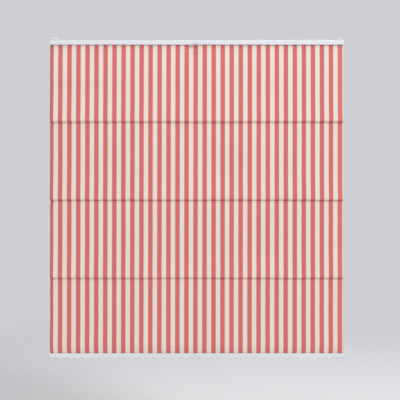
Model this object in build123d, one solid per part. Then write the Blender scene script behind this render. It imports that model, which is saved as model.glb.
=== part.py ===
from build123d import *
import math
import os

# A clamp-on roman blind. Four edge clamps hold two taut cords, two rails ride on the cords,
# and a striped cloth with three sewn creases hangs between the rails.
# Millimetres. +X runs to the right as seen from the front, -Y to the front, +Z up.
# The origin is the middle of the edge that the top clamps grip, on the face they rest against.

# Overall sizes
blind_height = 1177.0
rail_length = 1088.0
rail_height = 17.0
rail_depth = 24.0
rail_back_y = -5.0

# Cloth
cloth_width = 1086.0
cloth_thickness = 0.8
cloth_line_y = -20.0
first_crease_drop = 304.5
crease_pitch = 289.0
crease_count = 3
panel_top_y = -20.6
panel_bulge = 7.4
turn_out_radius = 3.0
turn_in_radius = 7.0
rail_exit_radius = 500.0
last_bulge_height = 50.0
last_return_radius = 100.0

# Coloured stripes woven into the cloth
stripe_pitch = 33.41
stripe_width = stripe_pitch / 2
first_stripe_x = -547.3
stripe_count = 33
stripe_thickness = 0.3
stripe_gap = 0.02

# Stiffening rods, their pockets and their cord rings
rod_radius = 2.0
rod_half_length = 535.0
pocket_y = -16.0
pocket_inner_radius = 2.5
pocket_half_length = 520.0
neck_end_y = -19.1
ring_sleeve_radius = 2.8
ring_eye_radius = 2.5
ring_length = 6.0
ring_height = 5.0
ring_web_half_width = 2.0
ring_web_half_height = 1.5
ring_rod_gap = 0.05
ring_cord_gap = 0.4

# Tension cords
cord_x = 529.5
cord_y = -10.5
cord_radius = 0.6
knot_radius = 1.3
knot_z = 5.3
cord_pass_gap = 0.3

# Rail extrusion
rail_wall = 1.3
rail_corner_radius = 2.0
channel_width = 6.0
channel_lip = 1.6
channel_depth = 5.6
channel_mouth = 2.6
cord_hole_radius = 1.6
cap_thickness = 2.0
cap_plug_length = 9.0
plug_clearance = 0.3
cap_rim_chamfer = 0.4

# Hem of the cloth and the strip that holds it in the channel
strip_radius = 1.5
hem_inner_radius = 1.6
hem_z = -12.6
hem_inset = 2.0

# Cord brake inside each rail end
brake_length = 24.5
brake_outer_x = 532.5
brake_bore_floor = 1.8
brake_bore_radius = 2.5
pad_radius = 2.35
pad_length = 10.15
pad_cord_gap = 0.15
spring_wire_radius = 0.25
spring_coil_radius = 1.75
spring_turns = 7
spring_end_gap = 0.05

# Finger grip clipped under the front edge of each rail
grip_x = -6.0
grip_width = 31.0
grip_outer_radius = 8.6
grip_wall = 1.5
grip_reach = 12.5
grip_clip_depth = 6.0
grip_clip_inset = 1.0
grip_clip_thickness = 1.2
grip_clip_gap = 0.1

# Edge clamp
clamp_inner_x = 518.0
clamp_outer_x = 543.0
clamp_plate_thickness = 4.0
clamp_plate_drop = 30.0
clamp_plate_corner = 3.0
nose_depth = 28.0
nose_bottom_z = 0.8
nose_top_z = 8.5
nose_top_inner_x = 521.5
nose_top_outer_x = 536.0
nose_front_chamfer = 0.7
nose_front_wall = 1.5
notch_half_width = 3.0
notch_floor_half_width = 0.8
notch_floor_z = 4.8
ledge_depth = 4.8
ledge_height = 1.6
jaw_gap = 18.0
jaw_travel = 12.0
pad_thickness = 1.0
hook_thickness = 1.2
hook_drop = 12.0
hook_corner = 2.0
hook_bend_radius = 1.0
hook_front_y = -7.6
tab_height = 4.5
prong_width = 4.9
prong_inset = 3.4
slide_clearance = 0.2
thread_gap = 0.05
shaft_gap = 0.1
head_gap = 0.15
pad_inset = 0.6
screw_radius = 1.25
screw_head_radius = 2.2
screw_head_length = 2.3
screw_z = 4.3
screw_end_y = -4.5
screw_seat_y = -25.5
screw_socket_radius = 0.9
screw_socket_depth = 1.4
screw_rim_chamfer = 0.3
anchor_radius = 2.2
anchor_bottom_z = 2.4
anchor_top_z = 4.2
anchor_chamfer = 0.4
anchor_gap = 0.1
anchor_bore_gap = 0.15

rail_front_y = rail_back_y - rail_depth
middle_z = -blind_height / 2
crease_heights = [-first_crease_drop - n * crease_pitch for n in range(crease_count)]


def block(x, y, z):
    """A box given by its low and high limits along each axis."""
    size = Box(x[1] - x[0], y[1] - y[0], z[1] - z[0])
    return Pos((x[0] + x[1]) / 2, (y[0] + y[1]) / 2, (z[0] + z[1]) / 2) * size


def flat(y, z):
    """A rectangle in a rail's cross-section, given by its limits."""
    return Pos((y[0] + y[1]) / 2, (z[0] + z[1]) / 2) * Rectangle(y[1] - y[0], z[1] - z[0])


def along_x(section, start_x, end_x):
    """Extrude a cross-section drawn in (y, z) from start_x to end_x."""
    return extrude(Plane.YZ.offset(start_x) * section, end_x - start_x)


def rod_along_x(radius, start_x, end_x, y, z):
    middle = (start_x + end_x) / 2
    return Pos(middle, y, z) * Rot(0, 90, 0) * Cylinder(radius, end_x - start_x)


def rod_along_y(radius, start_y, end_y, x, z):
    middle = (start_y + end_y) / 2
    return Pos(x, middle, z) * Rot(90, 0, 0) * Cylinder(radius, end_y - start_y)


def rod_along_z(radius, start_z, end_z, x, y):
    middle = (start_z + end_z) / 2
    return Pos(x, y, middle) * Cylinder(radius, end_z - start_z)


def to_left(shape):
    return mirror(shape, about=Plane.YZ)


def to_bottom(shape):
    return mirror(shape, about=Plane.XY.offset(middle_z))


# Rail extrusion, end caps and hem strip

def rail_outline():
    outline = flat((rail_front_y, rail_back_y), (-rail_height, 0))
    front_corners = outline.vertices().group_by(Axis.X)[0]
    return fillet(front_corners, rail_corner_radius)


def channel_limits():
    """The hem channel's cavity: its limits along y and z."""
    half = channel_width / 2
    floor_z = -rail_height + channel_lip
    return (cloth_line_y - half, cloth_line_y + half), (floor_z, floor_z + channel_depth)


def rail_profile():
    cavity_y, cavity_z = channel_limits()
    inside = flat((rail_front_y + rail_wall, rail_back_y - rail_wall), (rail_wall - rail_height, -rail_wall))
    channel = flat(
        (cavity_y[0] - rail_wall, cavity_y[1] + rail_wall), (-rail_height, cavity_z[1] + rail_wall)
    )
    half_mouth = channel_mouth / 2
    mouth = flat((cloth_line_y - half_mouth, cloth_line_y + half_mouth), (-rail_height, cavity_z[0]))
    section = rail_outline() - inside + channel - flat(cavity_y, cavity_z) - mouth
    half_length = rail_length / 2 - cap_thickness
    rail = along_x(section, -half_length, half_length)
    for x in (-cord_x, cord_x):
        rail -= rod_along_z(cord_hole_radius, -rail_height - 1, 1, x, cord_y)
    return rail


def end_cap():
    """Right-hand cap: a flange of the rail's outline with a plug beside and over the channel."""
    cavity_y, cavity_z = channel_limits()
    flange_x = rail_length / 2 - cap_thickness
    flange = along_x(rail_outline(), flange_x, rail_length / 2)
    flange = chamfer(flange.faces().sort_by(Axis.X)[-1].edges(), cap_rim_chamfer)
    plug_x = (flange_x - cap_plug_length, flange_x)
    top_z = -rail_wall - plug_clearance
    back_y = rail_back_y - rail_wall - plug_clearance
    channel_back_y = cavity_y[1] + rail_wall + plug_clearance
    channel_top_z = cavity_z[1] + rail_wall + plug_clearance
    front_y = rail_front_y + rail_wall + plug_clearance
    tall_plug = block(plug_x, (channel_back_y, back_y), (-rail_height + rail_wall + plug_clearance, top_z))
    flat_plug = block(plug_x, (front_y, channel_back_y), (channel_top_z, top_z))
    return flange + tall_plug + flat_plug


def hem_strip():
    half_length = rail_length / 2 - cap_thickness - hem_inset
    return rod_along_x(strip_radius, -half_length, half_length, cloth_line_y, hem_z)


# Finger grip

def finger_grip():
    """A scoop: a floor level with the rail's underside that turns up into an arched rim."""
    bottom_z = -rail_height - grip_clip_gap - grip_clip_thickness
    rim_z = bottom_z + grip_outer_radius
    root_y = rail_front_y - grip_clip_gap
    front_y = root_y - grip_reach
    bend_y = front_y + grip_outer_radius
    rings = Circle(grip_outer_radius) - Circle(grip_outer_radius - grip_wall)
    quarter = flat((-grip_outer_radius, 0), (-grip_outer_radius, 0))
    section = Pos(bend_y, rim_z) * (rings & quarter)
    section += flat((bend_y, root_y), (bottom_z, bottom_z + grip_wall))
    half_width = grip_width / 2
    lip = along_x(section, grip_x - half_width, grip_x + half_width)
    arch_radius = (half_width**2 + grip_outer_radius**2) / (2 * grip_outer_radius)
    arch = rod_along_y(arch_radius, front_y - 1, root_y + 1, grip_x, rim_z - arch_radius)
    lip = lip & arch
    clip = block(
        (grip_x - half_width + grip_clip_inset, grip_x + half_width - grip_clip_inset),
        (root_y, root_y + grip_clip_depth),
        (bottom_z, bottom_z + grip_clip_thickness),
    )
    return lip + clip


# Cord brake inside each rail end

def brake_limits():
    """The housing's limits along x, y and z, inside the rail behind the channel."""
    cavity_y, cavity_z = channel_limits()
    x = (brake_outer_x - brake_length, brake_outer_x)
    y = (cavity_y[1] + rail_wall + plug_clearance, rail_back_y - rail_wall - plug_clearance)
    z = (rail_wall + plug_clearance - rail_height, -rail_wall - plug_clearance)
    return x, y, z


def brake_housing():
    x, y, z = brake_limits()
    housing = block(x, y, z)
    bore_x = x[0] + brake_bore_floor
    housing -= rod_along_x(brake_bore_radius, bore_x, cord_x, cord_y, (z[0] + z[1]) / 2)
    housing -= rod_along_z(cord_radius + cord_pass_gap, z[0] - 1, z[1] + 1, cord_x, cord_y)
    return housing


def brake_pad():
    z = brake_limits()[2]
    tip_x = cord_x - cord_radius - pad_cord_gap
    return rod_along_x(pad_radius, tip_x - pad_length, tip_x, cord_y, (z[0] + z[1]) / 2)


def brake_spring():
    """An open coil between the bore's floor and the back of the pad."""
    x, y, z = brake_limits()
    pad_back_x = cord_x - cord_radius - pad_cord_gap - pad_length
    start_x = x[0] + brake_bore_floor + spring_wire_radius + spring_end_gap
    end_x = pad_back_x - spring_wire_radius - spring_end_gap
    length = end_x - start_x
    coil = Helix(length / spring_turns, length, spring_coil_radius)
    wire = Plane(origin=coil @ 0, z_dir=coil % 0) * Circle(spring_wire_radius)
    spring = sweep(wire, path=coil, is_frenet=True)
    return Pos(start_x, cord_y, (z[0] + z[1]) / 2) * Rot(0, 90, 0) * spring


# Edge clamp, built at the top right corner

def prong_limits():
    """The fork's inner and outer prong, as limits along x."""
    inner = clamp_inner_x + prong_inset
    outer = 2 * cord_x - inner
    return (inner, inner + prong_width), (outer - prong_width, outer)


def screw_x():
    inner = prong_limits()[0]
    return (inner[0] + inner[1]) / 2


def clamp_body():
    """A plate behind the rail and a nose over it, which holds the cord's end and the screw."""
    plate = block(
        (clamp_inner_x, clamp_outer_x), (-clamp_plate_thickness, 0), (-clamp_plate_drop, ledge_height)
    )
    plate = fillet(plate.edges().filter_by(Axis.Y).group_by(Axis.Z)[0], clamp_plate_corner)
    nose_outer_x = nose_top_outer_x + nose_top_z - nose_bottom_z
    outline = Polygon(
        (clamp_inner_x, nose_bottom_z),
        (nose_outer_x, nose_bottom_z),
        (nose_top_outer_x, nose_top_z),
        (nose_top_inner_x, nose_top_z),
        align=None,
    )
    nose = extrude(Plane.XZ * outline, nose_depth)
    nose = chamfer(nose.faces().sort_by(Axis.Y)[0].edges(), nose_front_chamfer)
    ledge = block((clamp_inner_x, clamp_outer_x), (0, ledge_depth), (0, ledge_height))
    body = plate + nose + ledge
    notch = Polygon(
        (cord_x - notch_floor_half_width, notch_floor_z),
        (cord_x + notch_floor_half_width, notch_floor_z),
        (cord_x + notch_half_width, nose_top_z),
        (cord_x - notch_half_width, nose_top_z),
        align=None,
    )
    body -= extrude(Plane.XZ.offset(-1) * notch, nose_depth + 2)
    body -= rod_along_z(anchor_radius + anchor_gap, anchor_bottom_z, nose_top_z, cord_x, cord_y)
    body -= rod_along_z(cord_radius + cord_pass_gap, 0, anchor_bottom_z, cord_x, cord_y)
    slot_y = (screw_seat_y + nose_front_wall, ledge_depth)
    tab_top_z = ledge_height + slide_clearance / 2 + tab_height
    inner, outer = prong_limits()
    tab_pocket = block(
        (inner[0] - slide_clearance, inner[1] + slide_clearance),
        slot_y,
        (ledge_height, tab_top_z + slide_clearance),
    )
    prong_slot = block(
        (outer[0] - slide_clearance, outer[1] + slide_clearance),
        slot_y,
        (ledge_height, ledge_height + hook_thickness + 2 * slide_clearance),
    )
    body -= tab_pocket
    body -= prong_slot
    head_y = (-nose_depth - 1, screw_seat_y)
    shaft_y = (screw_seat_y - 1, slot_y[0] + 1)
    body -= rod_along_y(screw_head_radius + head_gap, *head_y, screw_x(), screw_z)
    body -= rod_along_y(screw_radius + shaft_gap, *shaft_y, screw_x(), screw_z)
    return body


def clamp_hook():
    """A bent steel fork: two prongs in the nose, a threaded tab, and a leg behind the edge."""
    inner, outer = prong_limits()
    low_z = ledge_height + slide_clearance / 2
    high_z = low_z + hook_thickness
    leg_y = (jaw_gap + pad_thickness, jaw_gap + pad_thickness + hook_thickness)
    wide_y = jaw_travel + slide_clearance
    strip = block((inner[0], outer[1]), (wide_y, leg_y[1]), (low_z, high_z))
    leg = block((inner[0], outer[1]), leg_y, (-hook_drop, high_z))
    leg = fillet(leg.edges().filter_by(Axis.Y).group_by(Axis.Z)[0], hook_corner)
    hook = strip + leg
    hook += block(inner, (hook_front_y, wide_y), (low_z, high_z))
    hook += block(outer, (hook_front_y, wide_y), (low_z, high_z))
    hook += block(inner, (hook_front_y, hook_front_y + hook_thickness), (low_z, low_z + tab_height))
    bend = hook.edges().filter_by(Axis.X).sort_by_distance((cord_x, leg_y[1], high_z))[0]
    hook = fillet(bend, hook_bend_radius)
    thread_y = (hook_front_y - 1, hook_front_y + hook_thickness + 1)
    hook -= rod_along_y(screw_radius + thread_gap, *thread_y, screw_x(), screw_z)
    return hook


def hook_pad():
    inner, outer = prong_limits()
    x = (inner[0] + pad_inset, outer[1] - pad_inset)
    return block(x, (jaw_gap, jaw_gap + pad_thickness), (pad_inset - hook_drop, -2 * pad_inset))


def clamp_screw():
    head_y = screw_seat_y - screw_head_length
    screw = rod_along_y(screw_head_radius, head_y, screw_seat_y, screw_x(), screw_z)
    screw += rod_along_y(screw_radius, screw_seat_y, screw_end_y, screw_x(), screw_z)
    rim = screw.faces().sort_by(Axis.Y)[0].edges()
    screw = chamfer(rim, screw_rim_chamfer)
    socket = Pos(screw_x(), screw_z) * RegularPolygon(screw_socket_radius, 6)
    return screw - extrude(Plane.XZ.offset(-head_y - screw_socket_depth) * socket, screw_socket_depth)


def cord_anchor():
    plug = rod_along_z(anchor_radius, anchor_bottom_z, anchor_top_z, cord_x, cord_y)
    plug = chamfer(plug.faces().sort_by(Axis.Z)[0].edges(), anchor_chamfer)
    return plug - rod_along_z(cord_radius + anchor_bore_gap, anchor_bottom_z, anchor_top_z, cord_x, cord_y)


# Cords, rods and rings

def tension_cord():
    """The right-hand cord, straight between its two end knots."""
    cord = rod_along_z(cord_radius, -blind_height - knot_z, knot_z, cord_x, cord_y)
    for z in (knot_z, -blind_height - knot_z):
        cord += Pos(cord_x, cord_y, z) * Sphere(knot_radius)
    return cord


def stiffening_rod(z):
    return rod_along_x(rod_radius, -rod_half_length, rod_half_length, pocket_y, z)


def cord_ring(z):
    """A sleeve clipped on the rod's end, joined to an eye round the right-hand cord."""
    half = ring_length / 2
    ring = rod_along_x(ring_sleeve_radius, cord_x - half, cord_x + half, pocket_y, z)
    ring += rod_along_z(ring_eye_radius, z - ring_height / 2, z + ring_height / 2, cord_x, cord_y)
    web_y = (pocket_y + rod_radius, cord_y - ring_eye_radius / 2)
    web_x = (cord_x - ring_web_half_width, cord_x + ring_web_half_width)
    ring += block(web_x, web_y, (z - ring_web_half_height, z + ring_web_half_height))
    ring -= rod_along_x(rod_radius + ring_rod_gap, cord_x - half - 1, cord_x + half + 1, pocket_y, z)
    ring -= rod_along_z(cord_radius + ring_cord_gap, z - ring_height, z + ring_height, cord_x, cord_y)
    return ring


# Cloth: the centre line of its section, panel by panel, from the top rail to the bottom rail

def lean_for(forward, drop):
    """The angle and the total radius of arcs that step forward by one size over a drop."""
    angle = 2 * math.atan2(forward, drop)
    return math.degrees(angle), drop / math.sin(angle)


def first_panel():
    """From the top rail's channel to the first crease: visible face first, then the turn in."""
    start = (cloth_line_y, -rail_height - cloth_thickness)
    bulge_y = panel_top_y - turn_out_radius - panel_bulge
    end_z = crease_heights[0] + cloth_thickness / 2 + turn_in_radius
    lean, radius = lean_for(cloth_line_y - bulge_y, start[1] - end_z)
    leave = JernArc(start, (0, -1), rail_exit_radius, -lean)
    face = JernArc(leave @ 1, leave % 1, radius - rail_exit_radius, lean)
    turn_in = JernArc(face @ 1, face % 1, turn_in_radius, 90)
    back = Line(turn_in @ 1, (neck_end_y, (turn_in @ 1).Y))
    return [leave, face], [turn_in, back]


def panel_top(z):
    """Out of a crease's neck and down, ready for the panel's face."""
    neck_z = z - cloth_thickness / 2
    out = Line((neck_end_y, neck_z), (panel_top_y, neck_z))
    end_z = neck_z - turn_out_radius
    return out, end_z


def middle_panel(upper_z, lower_z):
    out, top_z = panel_top(upper_z)
    end_z = lower_z + cloth_thickness / 2 + turn_in_radius
    lean = lean_for(panel_bulge, top_z - end_z)[0]
    turn_out = JernArc(out @ 1, (-1, 0), turn_out_radius, 90 - lean)
    drop = (turn_out @ 1).Y - end_z
    face = JernArc(turn_out @ 1, turn_out % 1, drop / math.sin(math.radians(lean)), lean)
    turn_in = JernArc(face @ 1, face % 1, turn_in_radius, 90)
    back = Line(turn_in @ 1, (neck_end_y, (turn_in @ 1).Y))
    return [face], [out, turn_out, turn_in, back]


def last_panel():
    """From the last crease to the bottom rail's channel, with its fullest part low down."""
    out, top_z = panel_top(crease_heights[-1])
    rail_top_z = -blind_height + rail_height + cloth_thickness
    bulge_z = rail_top_z + last_bulge_height
    lean = lean_for(panel_bulge, top_z - bulge_z)[0]
    turn_out = JernArc(out @ 1, (-1, 0), turn_out_radius, 90 - lean)
    drop = (turn_out @ 1).Y - bulge_z
    face = JernArc(turn_out @ 1, turn_out % 1, drop / math.sin(math.radians(lean)), lean)
    end = face @ 1
    tuck, radius = lean_for(cloth_line_y - end.X, end.Y - rail_top_z)
    tuck_in = JernArc(end, (0, -1), last_return_radius, tuck)
    enter = JernArc(tuck_in @ 1, tuck_in % 1, radius - last_return_radius, -tuck)
    return [face, tuck_in, enter], [out, turn_out]


def cloth_panels():
    panels = [first_panel()]
    for upper_z, lower_z in zip(crease_heights, crease_heights[1:]):
        panels.append(middle_panel(upper_z, lower_z))
    panels.append(last_panel())
    return panels


def hem_section():
    """The hem loop round its strip, and the double neck through the channel's mouth."""
    outer_radius = hem_inner_radius + cloth_thickness
    loop = Pos(cloth_line_y, hem_z) * (Circle(outer_radius) - Circle(hem_inner_radius))
    neck = flat(
        (cloth_line_y - cloth_thickness, cloth_line_y + cloth_thickness),
        (-rail_height - cloth_thickness, hem_z - hem_inner_radius - cloth_thickness / 2),
    )
    return loop + neck


def cloth_sheet():
    section = Sketch()
    for visible, hidden in cloth_panels():
        section += trace(visible + hidden, cloth_thickness)
    half_width = cloth_width / 2
    cloth = along_x(section, -half_width, half_width)
    pocket_ring = Circle(pocket_inner_radius + cloth_thickness) - Circle(pocket_inner_radius)
    for z in crease_heights:
        cloth += along_x(Pos(pocket_y, z) * pocket_ring, -pocket_half_length, pocket_half_length)
    hem_half = rail_length / 2 - cap_thickness - hem_inset / 2
    hem = along_x(hem_section(), -hem_half, hem_half)
    return cloth + hem + to_bottom(hem)


def red_stripes():
    """Fields of colour on the front of each panel, the first one cut by the cloth's edge."""
    reach = cloth_thickness / 2 + stripe_gap + stripe_thickness / 2
    fields = []
    for visible, hidden in cloth_panels():
        front = Wire(visible).offset_2d(-reach, side=Side.RIGHT, closed=False)
        fields.append(trace(front, stripe_thickness))
    stripes = []
    for n in range(stripe_count):
        start_x = max(first_stripe_x + n * stripe_pitch, -cloth_width / 2)
        end_x = first_stripe_x + n * stripe_pitch + stripe_width
        stripes += [along_x(field, start_x, end_x).solid() for field in fields]
    return Compound(children=stripes)


def all_nodes():
    """Every node's name with its shape, in place."""
    corner_pieces = {
        "clamp_body": clamp_body(),
        "clamp_hook": clamp_hook(),
        "hook_pad": hook_pad(),
        "clamp_screw": clamp_screw(),
        "cord_anchor": cord_anchor(),
        "end_cap": end_cap(),
        "brake_housing": brake_housing(),
        "brake_pad": brake_pad(),
        "brake_spring": brake_spring(),
    }
    nodes = {}
    for name, shape in corner_pieces.items():
        nodes[f"top_right_{name}"] = shape
        nodes[f"top_left_{name}"] = to_left(shape)
        nodes[f"bottom_right_{name}"] = to_bottom(shape)
        nodes[f"bottom_left_{name}"] = to_bottom(to_left(shape))
    for name, shape in {"rail": rail_profile(), "hem_strip": hem_strip()}.items():
        nodes[f"top_{name}"] = shape
        nodes[f"bottom_{name}"] = to_bottom(shape)
    grip = finger_grip()
    nodes["top_grip"] = grip
    nodes["bottom_grip"] = Pos(0, 0, rail_height - blind_height) * grip
    nodes["right_tension_cord"] = tension_cord()
    nodes["left_tension_cord"] = to_left(tension_cord())
    for number, z in enumerate(crease_heights, start=1):
        nodes[f"crease_{number}_rod"] = stiffening_rod(z)
        nodes[f"crease_{number}_right_ring"] = cord_ring(z)
        nodes[f"crease_{number}_left_ring"] = to_left(cord_ring(z))
    nodes["cloth"] = cloth_sheet()
    nodes["red_stripes"] = red_stripes()
    return nodes


os.makedirs("parts", exist_ok=True)
for node_name, node_shape in all_nodes().items():
    export_step(node_shape, f"parts/{node_name}.step")
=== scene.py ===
import math

import bpy
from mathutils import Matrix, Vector


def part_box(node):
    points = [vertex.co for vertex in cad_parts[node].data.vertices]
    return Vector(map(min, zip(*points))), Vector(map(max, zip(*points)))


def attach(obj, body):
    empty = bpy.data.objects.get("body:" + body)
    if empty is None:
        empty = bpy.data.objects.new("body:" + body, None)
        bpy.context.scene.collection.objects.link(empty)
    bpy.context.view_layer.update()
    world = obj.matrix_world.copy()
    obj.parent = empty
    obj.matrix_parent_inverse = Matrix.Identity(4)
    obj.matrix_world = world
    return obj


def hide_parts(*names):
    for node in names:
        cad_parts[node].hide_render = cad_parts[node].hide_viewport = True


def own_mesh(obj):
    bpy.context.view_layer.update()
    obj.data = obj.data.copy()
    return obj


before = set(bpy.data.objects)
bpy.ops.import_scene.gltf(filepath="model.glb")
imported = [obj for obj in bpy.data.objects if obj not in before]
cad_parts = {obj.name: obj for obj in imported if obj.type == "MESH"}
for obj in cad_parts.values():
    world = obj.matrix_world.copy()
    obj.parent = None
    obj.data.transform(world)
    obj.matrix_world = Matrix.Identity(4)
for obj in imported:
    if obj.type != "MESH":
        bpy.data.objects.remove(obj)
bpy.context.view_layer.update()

# A clamp-on roman blind, in metres, in the frame of its solids: +X to the right seen from the
# front, -Y to the front, +Z up, the origin in the middle of the edge that the top clamps grip.

MM = 0.001

# Places taken from the solids
rail_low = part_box("top_rail")[0]
blind_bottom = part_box("bottom_rail")[0].z
cloth_half_width = 0.543
neck_out = 0.5 * MM
cloth_top = rail_low.z - neck_out
cloth_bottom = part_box("bottom_rail")[1].z + neck_out
rods = [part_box(f"crease_{number}_rod") for number in (1, 2, 3)]
creases = [(low.z + high.z) / 2 for low, high in rods]
rod_y = (rods[0][0].y + rods[0][1].y) / 2
rod_radius = (rods[0][1].z - rods[0][0].z) / 2
strip_low, strip_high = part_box("top_hem_strip")
strip_y = (strip_low.y + strip_high.y) / 2
strip_z = (strip_low.z + strip_high.z) / 2
strip_radius = (strip_high.z - strip_low.z) / 2
cord_low, cord_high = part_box("right_tension_cord")
cord_x = (cord_low.x + cord_high.x) / 2
cord_y = (cord_low.y + cord_high.y) / 2
strand_pitch = 0.9 * MM

# Cloth
cloth_thickness = 0.8 * MM
stripe_pitch = 33.41 * MM
first_stripe_x = -547.3 * MM
stripe_lean = 0.0011
column_size = 7 * MM
face_y = -24.0 * MM
kick_depth = 8.5 * MM
kick_length = 130 * MM
kick_share = 0.92
kick_wander = 0.12
edge_kick_share = 0.3
upper_roll = 9 * MM
lower_roll = 26 * MM
seam_depth = 3.4 * MM
seam_wander = 0.7 * MM
rail_drop = 150 * MM
tuck_height = 46 * MM
row_size = 7 * MM
side_hem = 15 * MM
hem_gap = 1.0 * MM
hem_edge_inset = 0.3 * MM
stitch_length = 2.6 * MM
thread_width = 0.45 * MM
yarn_pitch = 0.9 * MM
red_yarn = (216, 110, 111)
cream_yarn = (230, 222, 209)
sewing_thread = (233, 226, 214)
pocket_half_length = 0.520
pocket_gap = 0.9 * MM
pocket_mouth_angle = 20
hem_half_length = 0.541
hem_loop_gap = 0.6 * MM
hem_mouth_angle = 30
loop_steps = 24
neck_gap_share = 0.55
neck_front_y = face_y + seam_depth
seam_stitch_y = neck_front_y + 1.2 * MM
side_stitch_x = cloth_half_width - side_hem + 2 * MM


# Small tools

def linear(red, green, blue):
    """A colour written as 0 to 255 screen values, as linear values."""
    parts = [value / 255 for value in (red, green, blue)]
    return tuple(p / 12.92 if p <= 0.04045 else ((p + 0.055) / 1.055) ** 2.4 for p in parts) + (1.0,)


def mesh_object(name, points, faces):
    mesh = bpy.data.meshes.new(name)
    mesh.from_pydata(points, [], faces)
    mesh.update()
    piece = bpy.data.objects.new(name, mesh)
    bpy.context.scene.collection.objects.link(piece)
    mesh.polygons.foreach_set("use_smooth", [True] * len(mesh.polygons))
    return piece


def grid_faces(rows, columns):
    """Quads of a grid of points, row after row."""
    faces = []
    for row in range(rows - 1):
        for column in range(columns - 1):
            a = row * columns + column
            b = a + columns
            faces.append((a, b, b + 1, a + 1))
    return faces


def thicken(piece, thickness):
    solid = piece.modifiers.new("thickness", "SOLIDIFY")
    solid.thickness = thickness
    solid.offset = 0
    solid.use_even_offset = False
    return piece


# Node trees

class Tree:
    """Adds nodes to one material and links them."""

    def __init__(self, name):
        self.material = bpy.data.materials.new(name)
        self.material.use_nodes = True
        self.nodes = self.material.node_tree.nodes
        self.links = self.material.node_tree.links
        self.shader = self.nodes["Principled BSDF"]

    def put(self, socket, value):
        if isinstance(value, bpy.types.NodeSocket):
            self.links.new(value, socket)
        else:
            socket.default_value = value

    def math(self, operation, *values):
        node = self.nodes.new("ShaderNodeMath")
        node.operation = operation
        for socket, value in zip(node.inputs, values):
            self.put(socket, value)
        return node.outputs[0]

    def place(self):
        return self.nodes.new("ShaderNodeTexCoord").outputs["Object"]

    def split(self, vector):
        node = self.nodes.new("ShaderNodeSeparateXYZ")
        self.put(node.inputs[0], vector)
        return node.outputs

    def join(self, x, y, z):
        node = self.nodes.new("ShaderNodeCombineXYZ")
        for socket, value in zip(node.inputs, (x, y, z)):
            self.put(socket, value)
        return node.outputs[0]

    def scaled(self, vector, scale):
        node = self.nodes.new("ShaderNodeVectorMath")
        node.operation = "MULTIPLY"
        self.put(node.inputs[0], vector)
        node.inputs[1].default_value = scale
        return node.outputs[0]

    def noise(self, vector, scale, detail=2.0):
        node = self.nodes.new("ShaderNodeTexNoise")
        self.put(node.inputs["Vector"], vector)
        node.inputs["Scale"].default_value = scale
        node.inputs["Detail"].default_value = detail
        return node.outputs["Fac"]

    def ramp(self, value, low, high, start=0.0, end=1.0):
        node = self.nodes.new("ShaderNodeMapRange")
        node.interpolation_type = "SMOOTHSTEP"
        for socket, number in zip(node.inputs, (value, low, high, start, end)):
            self.put(socket, number)
        return node.outputs[0]

    def mix(self, factor, first, second, blend="MIX"):
        node = self.nodes.new("ShaderNodeMix")
        node.data_type = "RGBA"
        node.blend_type = blend
        for index, value in ((0, factor), (6, first), (7, second)):
            self.put(node.inputs[index], value)
        return node.outputs[2]

    def bump(self, height, strength, distance):
        node = self.nodes.new("ShaderNodeBump")
        node.inputs["Strength"].default_value = strength
        node.inputs["Distance"].default_value = distance
        self.put(node.inputs["Height"], height)
        self.links.new(node.outputs[0], self.shader.inputs["Normal"])

    def tinted(self, colour, value, spread):
        """The colour made up to that share darker or lighter as the value goes from 0 to 1."""
        shade = self.math("MULTIPLY_ADD", value, 2 * spread, 1 - spread)
        return self.mix(1.0, colour, self.join(shade, shade, shade), "MULTIPLY")


def stitched(tree, along, across, colour):
    """A run of stitches where across is 0: the colour with its thread, and how far it stands out."""
    turn = tree.math("ABSOLUTE", tree.math("SINE", tree.math("MULTIPLY", along, math.pi / stitch_length)))
    dash = tree.ramp(turn, 0.25, 0.55)
    line = tree.ramp(tree.math("ABSOLUTE", across), thread_width / 2, thread_width / 2 + 0.1 * MM, 1.0, 0.0)
    thread = tree.math("MULTIPLY", dash, line)
    return tree.mix(thread, colour, linear(*sewing_thread)), thread


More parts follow.
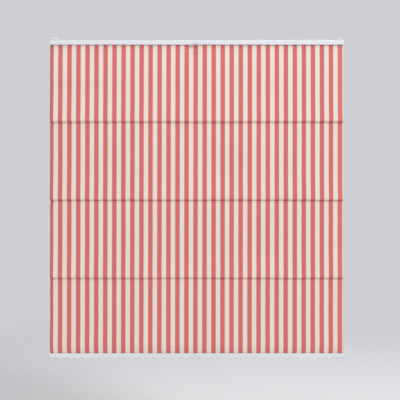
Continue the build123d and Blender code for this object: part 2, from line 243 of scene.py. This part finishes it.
def cotton(name, sewn_across=False):
    """Yarn-dyed plain-weave cotton: red and cream stripes along z, worked out from x."""
    tree = Tree(name)
    place = tree.place()
    x, y, z = tree.split(place)
    yarn = tree.noise(tree.scaled(place, (1600.0, 1.0, 22.0)), 1.0, 3.0)
    weft = tree.noise(tree.scaled(place, (26.0, 1.0, 1500.0)), 1.0, 3.0)
    cloudy = tree.noise(place, 9.0, 4.0)
    leaning = tree.math("MULTIPLY_ADD", z, -stripe_lean, x)
    wander = tree.math("MULTIPLY_ADD", weft, 0.5 * MM, leaning)
    wander_middle = 0.25 * MM
    half_stripe = stripe_pitch / 4
    soft_edge = 0.35 * MM
    red_middle = first_stripe_x + half_stripe + wander_middle
    from_middle = tree.math("PINGPONG", tree.math("SUBTRACT", wander, red_middle), stripe_pitch / 2)
    cream_share = tree.ramp(from_middle, half_stripe - soft_edge, half_stripe + soft_edge)
    red = tree.tinted(linear(*red_yarn), yarn, 0.10)
    cream = tree.tinted(linear(*cream_yarn), yarn, 0.035)
    colour = tree.mix(cream_share, red, cream)
    colour = tree.tinted(colour, weft, 0.05)
    colour = tree.tinted(colour, cloudy, 0.02)
    if sewn_across:
        colour, thread = stitched(tree, x, tree.math("SUBTRACT", y, seam_stitch_y), colour)
    else:
        from_stitches = tree.math("SUBTRACT", tree.math("ABSOLUTE", x), side_stitch_x)
        colour, thread = stitched(tree, z, from_stitches, colour)
    tree.put(tree.shader.inputs["Base Color"], colour)
    tree.put(tree.shader.inputs["Roughness"], tree.math("MULTIPLY_ADD", weft, 0.1, 0.82))
    tree.shader.inputs["Specular IOR Level"].default_value = 0.2
    tree.shader.inputs["Sheen Weight"].default_value = 0.06
    tree.shader.inputs["Sheen Roughness"].default_value = 0.5
    yarn_turns = 2 * math.pi / yarn_pitch
    warp_wave = tree.math("SINE", tree.math("MULTIPLY", x, yarn_turns))
    weft_wave = tree.math("SINE", tree.math("MULTIPLY", z, yarn_turns))
    weave = tree.math("MULTIPLY_ADD", tree.math("MULTIPLY", warp_wave, weft_wave), 0.3, yarn)
    relief = tree.math("MULTIPLY_ADD", thread, 1.5, tree.math("ADD", weave, weft))
    tree.bump(relief, 0.25, 0.15 * MM)
    return tree.material


def grained(name, colour, roughness, grain, spread=0.03, metallic=0.0, bump=0.1, depth=0.05 * MM):
    """A plain surface with a fine grain in its colour, gloss and relief."""
    tree = Tree(name)
    place = tree.place()
    fine = tree.noise(place, grain, 3.0)
    broad = tree.noise(place, 14.0, 3.0)
    tree.put(tree.shader.inputs["Base Color"], tree.tinted(tree.tinted(colour, fine, spread), broad, spread))
    tree.put(tree.shader.inputs["Roughness"], tree.math("MULTIPLY_ADD", broad, 0.12, roughness - 0.06))
    tree.shader.inputs["Metallic"].default_value = metallic
    tree.bump(fine, bump, depth)
    return tree.material


def braided(name):
    """A thin white braided cord: two crossing spirals of strands round its length."""
    tree = Tree(name)
    x, y, z = tree.split(tree.place())
    across = tree.math("SUBTRACT", tree.math("ABSOLUTE", x), cord_x)
    behind = tree.math("SUBTRACT", y, cord_y)
    strands_each_way = 4.0
    angle = tree.math("MULTIPLY", tree.math("ARCTAN2", behind, across), strands_each_way)
    turns = tree.math("MULTIPLY", z, 2 * math.pi / strand_pitch)
    one_way = tree.math("SINE", tree.math("ADD", turns, angle))
    other_way = tree.math("SINE", tree.math("SUBTRACT", turns, angle))
    strands = tree.math("MAXIMUM", one_way, other_way)
    share = tree.math("MULTIPLY_ADD", strands, 0.5, 0.5)
    # Painted shade: the colour is lighter on the strands' crowns and darker in the grooves between them,
    # following the same relief as the bump.
    tree.put(tree.shader.inputs["Base Color"], tree.tinted(linear(232, 232, 230), share, 0.12))
    tree.put(tree.shader.inputs["Roughness"], tree.math("MULTIPLY_ADD", share, 0.15, 0.6))
    tree.bump(share, 0.5, 0.15 * MM)
    return tree.material


def soften(solid, width):
    """Rounds a solid's sharp edges a little, as moulding and pressing do."""
    weld = solid.modifiers.new("joined", "WELD")
    weld.merge_threshold = 0.002 * MM
    bevel = solid.modifiers.new("edges", "BEVEL")
    bevel.width = width
    bevel.segments = 2
    bevel.limit_method = "ANGLE"
    bevel.angle_limit = math.radians(35)


def paint_solids(cloth):
    """Gives each solid that stays in view its own finish."""
    coat = grained("white_powder_coat", linear(223, 226, 231), 0.42, 1400.0, 0.012, bump=0.12)
    plastic = grained("white_plastic", linear(223, 226, 232), 0.38, 900.0, 0.012, bump=0.08)
    grey = grained("grey_plastic", linear(120, 123, 128), 0.5, 900.0, 0.03)
    fibre = grained("glass_fibre", linear(222, 221, 206), 0.4, 700.0, 0.05)
    painted = grained("white_painted_steel", linear(222, 225, 230), 0.35, 900.0, 0.015)
    steel = grained("zinc_steel", linear(196, 198, 202), 0.34, 500.0, 0.06, metallic=1.0)
    rubber = grained("black_rubber", linear(44, 44, 47), 0.85, 800.0, 0.08, bump=0.3)
    cord = braided("braided_cord")
    finishes = {
        "rail": coat, "end_cap": plastic, "grip": plastic, "clamp_body": plastic, "ring": plastic,
        "clamp_hook": steel, "clamp_screw": painted, "brake_spring": steel, "hook_pad": rubber,
        "brake_pad": rubber, "brake_housing": grey, "cord_anchor": grey, "hem_strip": fibre,
        "rod": fibre, "tension_cord": cord, "cloth": cloth, "red_stripes": cloth,
    }
    edges = {"end_cap": 0.3, "grip": 0.35, "clamp_body": 0.45, "clamp_hook": 0.15, "clamp_screw": 0.12}
    for name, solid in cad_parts.items():
        ending = max((key for key in finishes if name.endswith(key)), key=len)
        solid.data.materials.clear()
        solid.data.materials.append(finishes[ending])
        if ending in edges:
            soften(solid, edges[ending] * MM)


# Cloth shapes

def wave(x, seed, lengths=(0.61, 0.29, 0.17), sizes=(0.5, 0.3, 0.2)):
    """A slow irregular wave along the blind's width, between -1 and 1."""
    total = 0.0
    for number, (length, size) in enumerate(zip(lengths, sizes)):
        total += size * math.sin(2 * math.pi * x / length + seed * (number + 1.7))
    return total


def fading(share):
    """From 1 at a share of 0 down to 0 at a share of 1, ending gently."""
    return max(0.0, 1 - share) ** 2


def rolled(share):
    """The same, but starting as steeply as a quarter of a circle."""
    return 1 - math.sqrt(1 - max(0.0, 1 - share) ** 2)


def kick_at(drop, length, x, seed):
    """How far the cloth has come forward, at a drop below the panel's top; fuller at the edges."""
    near_edge = (abs(x) / cloth_half_width) ** 5
    fullness = kick_share + kick_wander * wave(x, seed) + edge_kick_share * near_edge
    return kick_depth * fullness * fading((length - drop) / kick_length)


def panel_y(x, z, top, bottom, seed):
    """The cloth's depth in a panel between two heights; a rail may stand in for a crease."""
    drop, height, length = top - z, z - bottom, top - bottom
    y = face_y - kick_at(drop, length, x, seed)
    if top == cloth_top:
        y += (strip_y - face_y) * fading(drop / rail_drop)
    else:
        y += seam_depth * fading(drop / lower_roll)
    reach = kick_at(length, length, x, seed)
    if bottom == cloth_bottom:
        y += (reach + strip_y - face_y) * fading(height / tuck_height)
    else:
        y += (reach + seam_depth) * rolled(height / upper_roll)
    return y


def seam_z(level, x, seed):
    """The height of a seam, which wanders a little along its length."""
    return level + seam_wander * wave(x, seed + 4)


def rows_between(top, bottom):
    """Heights down a panel as shares of it, closer together at its two ends."""
    near_end = [size * MM for size in (0, 0.3, 0.8, 1.5, 2.4, 3.5, 4.8, 6.3, 8, 10, 13, 17, 22, 28)]
    length = top - bottom
    count = round((length - 2 * near_end[-1]) / row_size)
    middle = [near_end[-1] + (length - 2 * near_end[-1]) * n / count for n in range(1, count)]
    drops = near_end + middle + [length - drop for drop in reversed(near_end)]
    return [drop / length for drop in drops]


def sheet_columns():
    """The sheet's columns as (x, how far behind the face), with a hem turned in at each side."""
    count = round(2 * cloth_half_width / column_size)
    face = [(cloth_half_width * (2 * n / count - 1), 0.0) for n in range(count + 1)]
    fold = cloth_half_width - hem_edge_inset
    turned = [(fold, hem_gap), (fold - side_hem / 2, hem_gap), (fold - side_hem, hem_gap * 0.9)]
    left = [(-x, behind) for x, behind in reversed(turned)]
    return left + face + turned


def cloth_piece(name, levels, first_seed):
    """One sheet from the first level down through the others."""
    columns = sheet_columns()
    points = []
    rows = 0
    for number, (top, bottom) in enumerate(zip(levels, levels[1:])):
        seed = first_seed + number
        for share in rows_between(top, bottom)[min(number, 1):]:
            for x, behind in columns:
                high = top if top == cloth_top else seam_z(top, x, seed)
                low = bottom if bottom == cloth_bottom else seam_z(bottom, x, seed + 1)
                y = panel_y(x, top + (bottom - top) * share, top, bottom, seed)
                points.append((x, y + behind, high + (low - high) * share))
            rows += 1
    piece = mesh_object(name, points, grid_faces(rows, len(columns)))
    return thicken(piece, cloth_thickness)


def tube_piece(name, half_length, section):
    """A sewn tube along x, whose section is a list of (y, z) points, open at its ends."""
    columns = 60
    xs = [-half_length + 2 * half_length * n / (columns - 1) for n in range(columns)]
    points = [(x, y, z) for y, z in section for x in xs]
    piece = mesh_object(name, points, grid_faces(len(section), columns))
    return thicken(piece, cloth_thickness)


def pocket_section(z):
    """From the seam back round a rod and forward to the seam again, in one loop."""
    radius = rod_radius + pocket_gap
    gap = cloth_thickness * neck_gap_share
    start = math.pi - math.radians(pocket_mouth_angle)
    loop = []
    for n in range(loop_steps + 1):
        angle = start - 2 * start * n / loop_steps
        loop.append((rod_y + radius * math.cos(angle), z + radius * math.sin(angle)))
    return [(neck_front_y, z + gap)] + loop + [(neck_front_y, z - gap)]


def hem_section(z, towards):
    """A hem's loop round its strip, with two layers of neck that stand a little out of the rail."""
    radius = strip_radius + hem_loop_gap
    gap = cloth_thickness * neck_gap_share
    start = math.radians(hem_mouth_angle)
    loop = []
    for n in range(loop_steps + 1):
        angle = start + (2 * math.pi - 2 * start) * n / loop_steps
        loop.append((strip_y - radius * math.sin(angle), z - towards * radius * math.cos(angle)))
    neck_z = z - towards * (strip_z - cloth_top)
    return [(strip_y - gap, neck_z)] + loop + [(strip_y + gap, neck_z)]


def dress_cloth(material, pocket_material):
    """The sheet in two pieces that meet in the first crease, with its pockets and hems."""
    upper = cloth_piece("cloth_upper_panel", [cloth_top, creases[0]], 1)
    lower = cloth_piece("cloth_lower_panels", [*creases, cloth_bottom], 2)
    pockets = []
    for number, z in enumerate(creases, start=1):
        pocket = tube_piece(f"crease_{number}_pocket", pocket_half_length, pocket_section(z))
        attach(pocket, "clamps_and_cloth" if number == 1 else f"crease_{number}_set")
        pockets.append(pocket)
    top_hem = tube_piece("top_hem", hem_half_length, hem_section(strip_z, 1))
    bottom_hem = tube_piece("bottom_hem", hem_half_length, hem_section(blind_bottom - strip_z, -1))
    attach(top_hem, "top_rail_set")
    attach(bottom_hem, "bottom_rail_set")
    gathers = (
        (upper, "top_rail_slide", cloth_top - creases[0], [top_hem, pockets[0]]),
        (lower, "bottom_rail_slide", creases[0] - cloth_bottom, [bottom_hem, *pockets[1:]]),
    )
    for sheet, joint, length, on_it in gathers:
        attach(sheet, "clamps_and_cloth")
        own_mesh(sheet)
        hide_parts("cloth", "red_stripes")
    for piece in (upper, lower, top_hem, bottom_hem, *pockets):
        piece.data.materials.append(pocket_material if piece in pockets else material)


# Stage, light and camera

# Pixels of the photo, which is 400 pixels wide and high, and metres a pixel
photo_middle = 200
blind_middle_column = 196.9
blind_top_row = 40.0
photo_scale = 0.0037
photo_centre_x = (photo_middle - blind_middle_column) * photo_scale
photo_centre_z = (blind_top_row - photo_middle) * photo_scale
lens = 80.0
sensor = 36.0
cloth_plane_y = -0.028
backdrop_colour = linear(206, 207, 212)
floor_colour = linear(240, 240, 243)
ambient_colour = (0.315, 0.32, 0.325, 1)
floor_radius = 5.0
floor_solid_radius = 1.5
floor_drop = 0.45


def aim(piece, target):
    piece.rotation_euler = (Vector(target) - piece.location).to_track_quat("-Z", "Y").to_euler()


def area_light(name, place, target, size, power):
    data = bpy.data.lights.new(name, "AREA")
    data.shape = "RECTANGLE"
    data.size, data.size_y = size
    data.energy = power
    lamp = bpy.data.objects.new(name, data)
    bpy.context.scene.collection.objects.link(lamp)
    lamp.location = place
    aim(lamp, target)


def place_lamps():
    middle = (0, 0, blind_bottom / 2)
    area_light("key", (3.0, -3.7, 2.5), middle, (1.3, 1.3), 150)
    area_light("fill", (-2.4, -3.4, -0.7), middle, (2.2, 2.2), 36)
    area_light("overhead", (0, -0.7, 1.7), middle, (1.4, 0.9), 12)
    area_light("behind", (1.4, 3.2, 2.9), middle, (1.8, 1.8), 85)


def light_world():
    """Even light from all round; a camera, a mirror or glass sees the backdrop's colour instead."""
    world = bpy.data.worlds.new("studio")
    bpy.context.scene.world = world
    world.use_nodes = True
    nodes, links = world.node_tree.nodes, world.node_tree.links
    background = nodes["Background"]
    path = nodes.new("ShaderNodeLightPath")
    seen = nodes.new("ShaderNodeMath")
    seen.operation = "MAXIMUM"
    links.new(path.outputs["Is Camera Ray"], seen.inputs[0])
    links.new(path.outputs["Is Transmission Ray"], seen.inputs[1])
    seen_or_mirrored = nodes.new("ShaderNodeMath")
    seen_or_mirrored.operation = "MAXIMUM"
    links.new(seen.outputs[0], seen_or_mirrored.inputs[0])
    links.new(path.outputs["Is Glossy Ray"], seen_or_mirrored.inputs[1])
    mix = nodes.new("ShaderNodeMix")
    mix.data_type = "RGBA"
    links.new(seen_or_mirrored.outputs[0], mix.inputs[0])
    mix.inputs[6].default_value = ambient_colour
    mix.inputs[7].default_value = backdrop_colour
    links.new(mix.outputs[2], background.inputs["Color"])


def lay_floor():
    """A pale round floor that fades out, well below the blind, and is clear from underneath."""
    steps = 96
    height = blind_bottom - floor_drop
    angles = [2 * math.pi * n / steps for n in range(steps)]
    ring = [(floor_radius * math.cos(angle), floor_radius * math.sin(angle), height) for angle in angles]
    floor = mesh_object("floor", ring, [tuple(range(steps))])
    tree = Tree("pale_floor")
    place = tree.place()
    x, y, z = tree.split(place)
    distance = tree.math("SQRT", tree.math("ADD", tree.math("MULTIPLY", x, x), tree.math("MULTIPLY", y, y)))
    tree.put(tree.shader.inputs["Base Color"], tree.tinted(floor_colour, tree.noise(place, 2.0), 0.01))
    from_below = tree.nodes.new("ShaderNodeNewGeometry").outputs["Backfacing"]
    faded = tree.ramp(distance, floor_solid_radius, floor_radius, 1.0, 0.0)
    cover = tree.math("SUBTRACT", faded, from_below)
    tree.put(tree.shader.inputs["Alpha"], tree.math("MAXIMUM", cover, 0.0))
    tree.shader.inputs["Roughness"].default_value = 0.9
    floor.data.materials.append(tree.material)


def place_camera():
    data = bpy.data.cameras.new("camera")
    data.lens = lens
    data.sensor_width = sensor
    camera = bpy.data.objects.new("camera", data)
    bpy.context.scene.collection.objects.link(camera)
    distance = 2 * photo_middle * photo_scale * lens / sensor
    camera.location = (photo_centre_x, cloth_plane_y - distance, photo_centre_z)
    camera.rotation_euler = (math.radians(90), 0, 0)
    bpy.context.scene.camera = camera


cloth_material = cotton("striped_cotton")
paint_solids(cloth_material)
dress_cloth(cloth_material, cotton("sewn_cotton", sewn_across=True))
place_camera()
place_lamps()
light_world()
lay_floor()
bpy.context.scene.view_settings.view_transform = "Standard"
